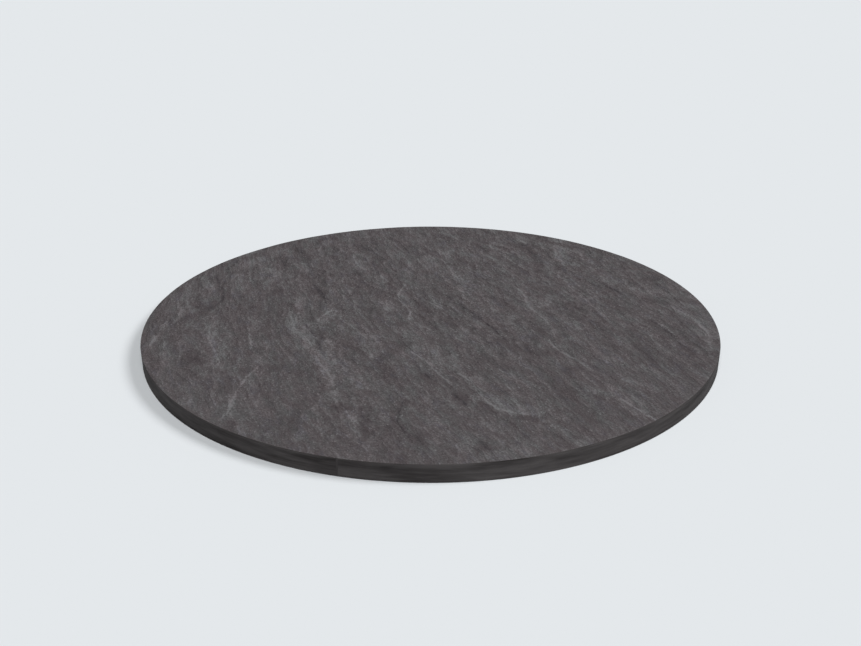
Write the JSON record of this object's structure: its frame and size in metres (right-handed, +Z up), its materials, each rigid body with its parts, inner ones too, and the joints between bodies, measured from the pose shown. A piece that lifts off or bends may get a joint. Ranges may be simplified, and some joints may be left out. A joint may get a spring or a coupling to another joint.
{
  "type": "slate slab",
  "caption": "Round slab of dark slate with a riven top face, a smooth ground rim and a flat sawn underside.",
  "frame": {"origin": "middle of the flat underside", "axes": "+Z up out of the riven face; +X to the right and -Y towards the viewer of the picture, so that the slate's grain runs from the far left to the near right"},
  "size_m": [0.7, 0.7, 0.02],
  "materials": {
    "slate": "riven, matt, dark warm grey with lighter grey-green plates, pale thin plate edges and blue-black clefts; rim ground smooth and near black"
  },
  "bodies": {
    "root": {"slate_slab": "slate"}
  },
  "joints": []
}
